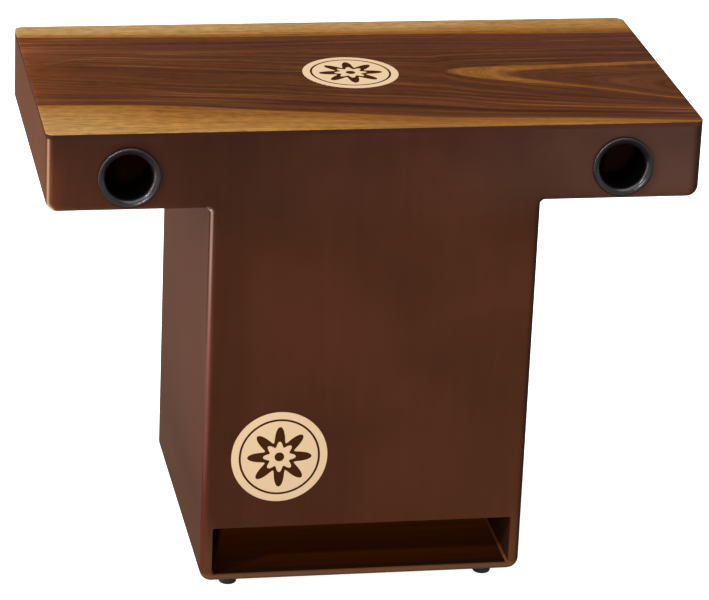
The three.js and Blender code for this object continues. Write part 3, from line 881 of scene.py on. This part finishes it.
# %% [markdown]
# The veneer itself is a grid that is finer across the grain than along it. Near the four corners the rows get
# shorter along a quarter circle, which rounds the corners in plan. Three more rings round the rim ease the
# edge and carry it down to the board below.

# %% Shape the veneer
VENEER_EASE = 0.25 * MM
COLUMNS, ROWS, CORNER_ROWS = 141, 300, 10


def top_outline():
    """The rectangle of the top, with its rounder corners at the back."""
    front = [(-half_length, front_y, FRONT_ROUND), (half_length, front_y, FRONT_ROUND)]
    return rounded_outline(front + [(half_length, back_y, BACK_ROUND), (-half_length, back_y, BACK_ROUND)])


def veneer_surface():
    """Rows from front to back, each as long as the rounded rectangle is wide there: at a distance past the
    start of a corner's circle, the half length shrinks by the radius less the root of radius squared minus
    distance squared."""
    bend = np.sin(np.linspace(0, np.pi / 2, CORNER_ROWS + 1))
    front_radius, back_radius = FRONT_ROUND - VENEER_EASE, BACK_ROUND - VENEER_EASE
    start, stop = front_y + FRONT_ROUND, back_y - BACK_ROUND
    y = np.concatenate([start - front_radius * bend[:0:-1], np.linspace(start, stop, ROWS),
                        stop + back_radius * bend[1:]])
    shrink = np.zeros_like(y)
    for past, radius in ((start - y, front_radius), (y - stop, back_radius)):
        shrink += radius - np.sqrt(np.maximum(radius ** 2 - np.clip(past, 0, radius) ** 2, 0))
    x = (half_length - VENEER_EASE - shrink)[:, None] * np.linspace(-1, 1, COLUMNS)
    return np.stack([x, np.repeat(y[:, None], COLUMNS, axis=1), np.full_like(x, top_z)], axis=-1)


surface = veneer_surface()
rim = np.concatenate([surface[0], surface[1:, -1], surface[-1, -2::-1], surface[-2:0:-1, 0]])
rim_round = np.where(rim[:, 1] > middle_y, BACK_ROUND, FRONT_ROUND)
centre = np.stack([
    np.clip(rim[:, 0], -half_length + rim_round, half_length - rim_round),
    np.clip(rim[:, 1], front_y + rim_round, back_y - rim_round),
], axis=-1)
outward = (rim[:, :2] - centre) / np.linalg.norm(rim[:, :2] - centre, axis=1, keepdims=True)


def rim_ring(out_by, down_by):
    """The rim of the surface, moved outwards and down."""
    return np.column_stack([rim[:, :2] + out_by * outward, rim[:, 2] - down_by])


ease_out, ease_down = quarter(VENEER_EASE, 2)
rings = [rim_ring(VENEER_EASE - each, down) for each, down in zip(ease_out, ease_down)]
rings.append(rim_ring(VENEER_EASE, top_z - veneer_z))
skirt = np.stack(rings)
veneer_parts = [
    (surface, grid_faces(*surface.shape[:2])),
    (skirt, grid_faces(*skirt.shape[:2], round_columns=True)),
    (rings[-1], [list(range(len(rim)))]),
]
print("points round the rim:", len(rim))

# %% [markdown]
# The walnut's colour starts from the pale share, through a run of tones from heartwood to sapwood. Golden
# lines, a purple cast and the warmer and cooler ends are laid over it, and clouds drawn out along the bent
# coordinate make the wood lighter and darker: wide bands, fine bands, flecks, dashes, threads and at last the
# pores.

# %% Make the walnut
FIELDS = {"pale": pale_share, "broad": broad_shade, "count": grain_count, "calm": inside_flame}
walnut = Finish("walnut under satin lacquer", Specular_IOR_Level=0.0, Coat_Weight=0.05, Coat_Roughness=0.3)
pale, broad, count, calm = [walnut.add("Attribute", attribute_name=name).outputs["Fac"] for name in FIELDS]
bent = walnut.add("CombineXYZ", {0: walnut.x, 1: count}).outputs[0]


def drawn_out(along, over_grain, detail=2):
    """A cloud with so many features to the metre along the grain and across it."""
    return walnut.noise(1, detail, stretch=(along, over_grain, 1), place=bent)


wide_bands, bands = drawn_out(2, 90), drawn_out(3, 280)
flecks, dashes = drawn_out(90, 420, 3), drawn_out(16, 330, 1)
threads, pores = drawn_out(30, 1300), drawn_out(140, 3000, 1)
ridge = walnut.size(walnut.fold("SUBTRACT", drawn_out(2.5, 130, 1), 0.5))
in_heart = walnut.range(pale, 0.45, 0.25)
left_calm = walnut.range(walnut.x, -0.16, -0.06, 0.5, 1)

walnut.paint(walnut.ramp(walnut.plus(pale, (bands, 0.3, 0.7, -0.05, 0.05)), [
    (0.0, tone(83, 45, 22)), (0.15, tone(100, 56, 26)), (0.33, tone(121, 73, 31)), (0.5, tone(138, 88, 35)),
    (0.64, tone(150, 101, 46)), (0.8, tone(164, 118, 62)), (1.0, tone(178, 137, 82)),
]))
# Golden lines that come and go, purple in the darkest bands, and a cooler or warmer cast by place
comes_and_goes = (drawn_out(9, 30, 1), 0.42, 0.6)
walnut.tint(tone(140, 88, 42), (ridge, 0.04, 0.0), comes_and_goes, (calm, 0, 1, 1, 0.1), in_heart, 0.5)
walnut.tint(tone(82, 48, 36), (wide_bands, 0.47, 0.34, 0, 0.55), in_heart, (walnut.x, -0.15, 0.15, 0.5, 1))
walnut.cast(0.97, 0.97, 1.22, (walnut.y, 0.0, 0.07), in_heart)
walnut.cast(1.24, 1.14, 0.94, (walnut.x, -0.21, -0.245), in_heart)
walnut.cast(0.94, 0.92, 1.28, (walnut.x, 0.12, 0.24), in_heart, (calm, 0, 1, 1, 0.2))
creamy = walnut.most((walnut.y, 0.08, 0.1), (walnut.x, -0.19, -0.235))
walnut.cast(0.985, 1.03, 1.15, creamy, (pale, 0.5, 0.8))

# Light and dark along the grain, with less of it in the sapwood and at the left
less_in_sapwood = walnut.times((in_heart, 0, 1, 0.35, 1), left_calm)
wide_light = walnut.times((wide_bands, 0.3, 0.7, -0.22, 0.2), (calm, 0, 1, 1, 0.3), less_in_sapwood)
fine_light = walnut.times((bands, 0.3, 0.7, -0.27, 0.27), less_in_sapwood)
fleck_light = walnut.plus((flecks, 0.3, 0.7, -0.24, 0.24), (dashes, 0.3, 0.7, -0.15, 0.15))
fleck_light = walnut.times(fleck_light, (in_heart, 0, 1, 1, 0.6))
walnut.shade(
    walnut.plus(wide_light, 1.0, broad), walnut.plus(fine_light, 1.0), walnut.plus(fleck_light, 1.0),
    (threads, 0.3, 0.7, 0.93, 1.06), (pores, 0.3, 0.42, 0.72, 1.0),
)
walnut.bump(walnut.plus(pores, walnut.times(threads, 0.4)), 0.04 * MM, 0.35)
print("walnut nodes:", len(walnut.tree.nodes))

# %% Lay the veneer and give each point its share of the figure
walnut_face = make_piece(
    "walnut_face", veneer_parts, [walnut], ["top_veneer"], flat_faces=False
)
places = np.zeros(len(walnut_face.data.vertices) * 3, np.float32)
walnut_face.data.vertices.foreach_get("co", places)
at_x, at_y, _ = places.reshape(-1, 3).astype(float).T
at_s = back_y - at_y
at_s = at_s + drift(at_x, at_s)
for name, values in FIELDS.items():
    field = walnut_face.data.attributes.new(name, "FLOAT", "POINT")
    field.data.foreach_set("value", values(at_x, at_s).astype(np.float32))
print("veneer points:", len(at_x))

# %% Put the stained board under it
board_levels = [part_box("top_board")[0].z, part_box("top_board")[1].z]
top_plate = stacked([top_outline()] * 2, board_levels, "z")
make_piece("top_plate", top_plate, [edge_stain], ["top_board"])
print("board under the veneer:", round((board_levels[1] - board_levels[0]) / MM, 2), "mm thick")

# %% [markdown]
# ## The sound ports
#
# Each port is a moulded black tube. Its flange stands highest near the rim and rolls inwards into the bore
# like the mouth of a horn, and its surface has the fine pebble of an eroded mould, which turns the light from
# the left into a broken glint low on the right. Anything round is a profile turned about an axis: the profile
# gives radius and depth, and the turning gives the second direction of the grid.

# %% Turn the port tubes
def turned(profile, centre, axis, steps):
    """A profile of (radius, way along the axis) turned once round: radius times the cosine and sine of the
    turn gives the other two directions."""
    shape = np.asarray(profile, float)
    angle = full_turn(steps)
    round_a = shape[:, :1] * np.cos(angle)
    round_b = shape[:, :1] * np.sin(angle)
    along = np.repeat(shape[:, 1:], steps, axis=1)
    order = [round_a, along, round_b] if axis == "y" else [round_a, round_b, along]
    points = np.stack(order, axis=-1) + np.array(centre, float)
    return points, grid_faces(len(shape), steps, round_rows=True, round_columns=True)


BORE_RADIUS, TUBE_WALL = 17.5 * MM, 1.8 * MM
RIM_ROUND, ROLL_DEPTH, FLANGE_RELIEF = 1.0 * MM, 5 * MM, 0.3 * MM
PORT_STEPS = 96
flange_proud = front_y - port_low.y
tube_length = port_high.y - front_y


def port_profile():
    """Up the bore, out over the flange and back along the outside of the tube. The flange is a quarter
    ellipse from the bore up to the crest, and a small quarter circle from there to the rim."""
    crest = flange_radius - RIM_ROUND
    turn = np.linspace(np.pi / 2, 0, 17)
    roll = [crest - (crest - BORE_RADIUS) * np.sin(turn), ROLL_DEPTH * (1 - np.cos(turn)) - flange_proud]
    inset, back_by = quarter(RIM_ROUND, 6)
    rim_edge = [flange_radius - inset[1:], back_by[1:] - flange_proud]
    outside = BORE_RADIUS + TUBE_WALL
    foot = [(flange_radius, -FLANGE_RELIEF), (flange_radius - FLANGE_RELIEF, 0.0), (outside, 0.0)]
    round_part = np.hstack([roll, rim_edge]).T
    return np.vstack([[(BORE_RADIUS, tube_length)], round_part, foot, [(outside, tube_length)]])


plastic = Finish("pebbled black plastic", Specular_IOR_Level=0.0, Coat_Roughness=0.24)
plastic.mottle(220, 2, tone(21, 15, 18), tone(33, 26, 30))
# Painted shade: the colour goes almost black over the flange's inner roll and down the bore
plastic.tint(tone(6, 5, 4), (plastic.y, front_y - 3 * MM, front_y + 1.5 * MM))
plastic.into("Coat Weight", (plastic.rise, -0.2, 0.25, 0.04, 0.88))
plastic.bump(plastic.noise(950, 3), 0.15 * MM, 0.7)
for label, side in SIDES.items():
    make_piece(
        f"port_ring_{label}", [turned(port_profile(), (side * port_x, front_y, port_z), "y", PORT_STEPS)],
        [plastic], [f"port_tube_{label}"], flat_faces=False,
    )
print("port profile points:", len(port_profile()))

# %% [markdown]
# ## The cream discs
#
# A thin round film is stuck on the front and another on the top. Their print is a plain rosette of eight
# petals in the brown of the body. The rings of the grid follow the petals' curve, so the border between cream
# and brown is a real line in the mesh and stays crisp at any size.

# %% Make the discs
PETALS = 8
DISC_STEPS = 192
FILM_EASE = 0.08 * MM
# Shares of the disc's radius: the dot, the two petal curves with their swings, and the thin line round them
DOT, HEART, HEART_SWING, PETAL, PETAL_SWING, LINE_IN, LINE_OUT = 0.10, 0.28, 0.06, 0.50, 0.17, 0.80, 0.845


def disc_radii(radius):
    """The radius of every ring at each angle, and which bands between rings are printed. A petal curve is a
    circle whose radius swings with the cosine of eight times the angle."""
    angle = full_turn(DISC_STEPS)
    even = np.ones_like(angle)
    swing = np.cos(PETALS * angle)
    rings = [0 * even, DOT * even, HEART + HEART_SWING * swing, PETAL + PETAL_SWING * swing, LINE_IN * even,
             LINE_OUT * even, (1 - FILM_EASE / radius) * even, even, even, 0 * even]
    printed = [1, 0, 1, 0, 1, 0, 0, 0, 0]
    return radius * np.stack(rings), printed


def film(radius, thickness):
    """The disc as rings of points: flat on top, eased at the rim, and closed underneath."""
    radii, printed = disc_radii(radius)
    angle = full_turn(DISC_STEPS)
    heights = np.array([thickness] * 7 + [thickness - FILM_EASE, 0.0, 0.0])
    points = np.stack([radii * np.cos(angle), radii * np.sin(angle), heights[:, None] + 0 * radii], axis=-1)
    looks = np.repeat(printed, DISC_STEPS)
    return points, grid_faces(*radii.shape, round_columns=True), looks


cream = Finish("cream film", Roughness=0.5, Specular_IOR_Level=0.0)
cream.mottle(600, 4, tone(218, 188, 151), tone(225, 195, 158))
cream.bump(cream.noise(1500, 2), 0.02 * MM, 0.3)
print_brown = Finish("brown print", Roughness=0.5, Specular_IOR_Level=0.0)
print_brown.mottle(600, 3, tone(60, 32, 12), tone(68, 37, 16))

for node in ("front_disc", "top_disc"):
    low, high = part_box(node)
    x, y, z = (low + high) / 2
    on_front = node == "front_disc"
    points, faces, looks = film((high.x - low.x) / 2, (high - low)[1 if on_front else 2])
    if on_front:
        points = np.stack([points[..., 0], -points[..., 2], points[..., 1]], axis=-1) + [x, high.y, z]
    else:
        points = points + [x, y, low.z]
    make_piece(node.replace("disc", "film"), [(points, faces, looks)], [cream, print_brown],
               [node], flat_faces=False)

# %% [markdown]
# ## Rubber feet
#
# Four turned rubber feet with a rounded tread and a recess for the screw. They are matt and faintly
# blue-grey, and mould dust and handling leave them a little uneven.

# %% Turn the feet
rubber = Finish("dark grey rubber", Roughness=0.72, Specular_IOR_Level=0.4)
rubber.mottle(300, 4, tone(28, 30, 45), tone(42, 45, 63))
rubber.bump(rubber.noise(1800, 3), 0.03 * MM, 0.5)
TREAD_RADIUS, TREAD_ROUND, FOOT_EASE = 7.0 * MM, 1.2 * MM, 0.4 * MM
RECESS_RADIUS, RECESS_DEPTH, PILOT_RADIUS = 3.75 * MM, 5.0 * MM, 2.05 * MM
FOOT_STEPS = 64


def foot_profile(top_radius, height):
    """Up the recess, out over the tread, round its edge, up the tapered side, and in to the screw hole."""
    inset, back_by = quarter(TREAD_ROUND, 8)
    edge = np.stack([TREAD_RADIUS - inset, back_by], axis=-1)
    rest = [(top_radius, height - FOOT_EASE), (top_radius - FOOT_EASE, height), (PILOT_RADIUS, height),
            (PILOT_RADIUS, RECESS_DEPTH), (RECESS_RADIUS, RECESS_DEPTH), (RECESS_RADIUS, 0.0)]
    return np.vstack([edge, rest])


corners = [f"{end}_{side}" for end in ("front", "back") for side in SIDES]
for corner in corners:
    low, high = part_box(f"rubber_foot_{corner}")
    x, y, _ = (low + high) / 2
    foot = turned(foot_profile((high.x - low.x) / 2, high.z - low.z), (x, y, low.z), "z", FOOT_STEPS)
    make_piece(f"tread_foot_{corner}", [foot], [rubber], [f"rubber_foot_{corner}"],
               flat_faces=False)
print("feet:", corners)

# %% [markdown]
# ## Inside the body
#
# A bead of glue runs along both joints between the floor and the sides, and shows as a thin warm line through
# the slot. Under the top, two beech rails carry the snare strands, which are finely coiled steel wire clipped
# in a steel strip at each end, and beech battens back the top.

# %% Run the glue beads
glue = Finish("amber glue", Roughness=0.35, Specular_IOR_Level=0.4)
glue.mottle(200, 3, tone(120, 64, 26), tone(150, 84, 38))
bead_run = [front_y + 1.5 * SLOT_EASE, back_inner_y]
BEAD = 1.6 * MM
inset, back_by = quarter(BEAD, 6)
bead_x = np.concatenate([[column_inner_x], column_inner_x - inset])
bead_z = np.concatenate([[floor_z], floor_z + back_by])
for label, side in SIDES.items():
    outline = np.stack([side * bead_x, bead_z], axis=-1)
    make_piece(f"glue_bead_{label}", stacked([outline] * 2, bead_run, "y"), [glue], [])
print("bead width:", round(BEAD / MM, 1), "mm")

# %% Coil the snare strands
STRANDS, STRAND_PITCH, STRAND_DROP = 10, 6.6 * MM, 1 * MM
WIRE_RADIUS, COIL_RADIUS, COIL_PITCH = 0.2 * MM, 0.8 * MM, 2.2 * MM
TURN_STEPS, WIRE_SIDES, WIRE_WELD = 9, 5, 1e-7
STRIP_THICK, STRIP_ROUND, COIL_INSET = 1.2 * MM, 1.2 * MM, 0.5 * MM
OUTER_STRIP, OUTER_MARGIN, INNER_STRIP, INNER_MARGIN = 14 * MM, 12 * MM, 7 * MM, 6 * MM


def coils(start_x, end_x, middles, z):
    """Coiled wires side by side: each point of a helix about X carries a small circle of wire, which
    shrinks to nothing at both ends."""
    turns = abs(end_x - start_x) / COIL_PITCH
    steps = int(turns * TURN_STEPS)
    share = np.linspace(0, 1, steps)
    spin = 2 * np.pi * turns * share
    outward = np.stack([np.zeros(steps), np.cos(spin), np.sin(spin)], axis=-1)
    around = np.stack([np.zeros(steps), -np.sin(spin), np.cos(spin)], axis=-1)
    forward = np.array([np.sign(end_x - start_x), 0, 0]) * COIL_PITCH + around * 2 * np.pi * COIL_RADIUS
    forward = forward / np.linalg.norm(forward, axis=1, keepdims=True)
    sideways = np.cross(forward, outward)
    line = np.stack([start_x + (end_x - start_x) * share, 0 * share, 0 * share + z], axis=-1)
    wire = full_turn(WIRE_SIDES)
    thick = WIRE_RADIUS * np.clip(np.minimum(share, 1 - share) * steps, 0, 1)[:, None, None]
    circle = outward[:, None] * np.cos(wire)[:, None] + sideways[:, None] * np.sin(wire)[:, None]
    one = (line + COIL_RADIUS * outward)[:, None] + thick * circle
    faces = grid_faces(steps, WIRE_SIDES, round_columns=True)
    return [(one + np.array([0, middle, 0]), faces) for middle in middles]


steel = Finish("drawn steel", Metallic=1.0, Roughness=0.3)
steel.mottle(400, 3, tone(176, 178, 182), tone(196, 198, 202))
for label, side in SIDES.items():
    low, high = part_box(f"snare_wires_{label}")
    outer, inner = (low.x, high.x) if side < 0 else (high.x, low.x)
    half_spread = STRAND_PITCH * (STRANDS - 1) / 2
    middles = middle_y + STRAND_PITCH * np.arange(STRANDS) - half_spread
    strips = []
    for start, stop, margin in (
        (outer, outer - side * OUTER_STRIP, OUTER_MARGIN), (inner + side * INNER_STRIP, inner, INNER_MARGIN),
    ):
        reach = half_spread + margin
        shape = rectangle(min(start, stop), middle_y - reach, max(start, stop), middle_y + reach, STRIP_ROUND)
        strips += stacked([shape] * 2, [low.z, low.z + STRIP_THICK], "z")
    strands = coils(outer - side * COIL_INSET, inner + side * COIL_INSET, middles, high.z - STRAND_DROP)
    make_piece(f"snare_coils_{label}", strips + strands, [steel],
               [f"snare_wires_{label}"], weld=WIRE_WELD, flat_faces=False)
print("strands to a side:", STRANDS)

# %% Finish the nodes that keep their own shape
beech = Finish("planed beech", Roughness=0.6, Specular_IOR_Level=0.3)
beech_grain = beech.noise(60, 4, stretch=(6, 0.5, 6))
beech.paint(beech.ramp(beech_grain, [(0.3, tone(168, 124, 80)), (0.7, tone(200, 158, 112))]))
beech.bump(beech_grain, 0.05 * MM, 0.4)
zinc = Finish("zinc plated screw", Metallic=1.0, Roughness=0.35)
zinc.mottle(500, 3, tone(168, 170, 172), tone(190, 190, 188))
for name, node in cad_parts.items():
    finish = stain
    if "screw" in name:
        finish = zinc
    elif "rail" in name or "batten" in name:
        finish = beech
    for slot in node.material_slots:
        slot.material = finish.material

# %% Measure how much the pieces have grown the model
boxes = {"cad": [list(corner) for corner in cad_box], "scene": [list(corner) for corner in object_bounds()]}
sizes = {name: np.subtract(high, low) for name, (low, high) in boxes.items()}
print("grown by, in millimetres:", ((sizes["scene"] - sizes["cad"]) / MM).round(3))
